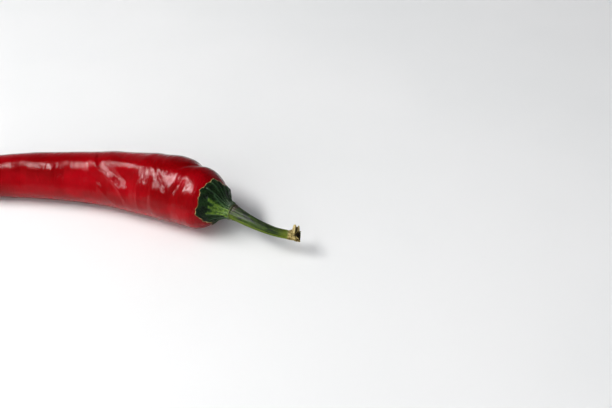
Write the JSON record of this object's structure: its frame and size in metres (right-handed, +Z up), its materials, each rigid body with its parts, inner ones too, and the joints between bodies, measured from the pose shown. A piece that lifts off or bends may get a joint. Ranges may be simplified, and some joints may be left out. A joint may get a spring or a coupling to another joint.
{
  "type": "chilli pepper",
  "caption": "Long curved red chilli pepper lying on its side, with a lobed shoulder, a toothed green calyx and a short curved stalk with a dry broken end.",
  "frame": {"origin": "on the surface that the pepper rests on, under the middle of its outline seen from above", "axes": "+X along the pepper's length from the pod's tip to the stalk, +Z up; the pod's curve is hollow towards -Y, and the stalk bends towards -Y"},
  "size_m": [0.1884, 0.0436, 0.0234],
  "materials": {
    "red_skin": "gloss",
    "green_calyx": "satin",
    "green_stalk": "satin"
  },
  "bodies": {
    "root": {"pod": "red_skin", "calyx": "green_calyx", "stalk": "green_stalk"}
  },
  "joints": []
}
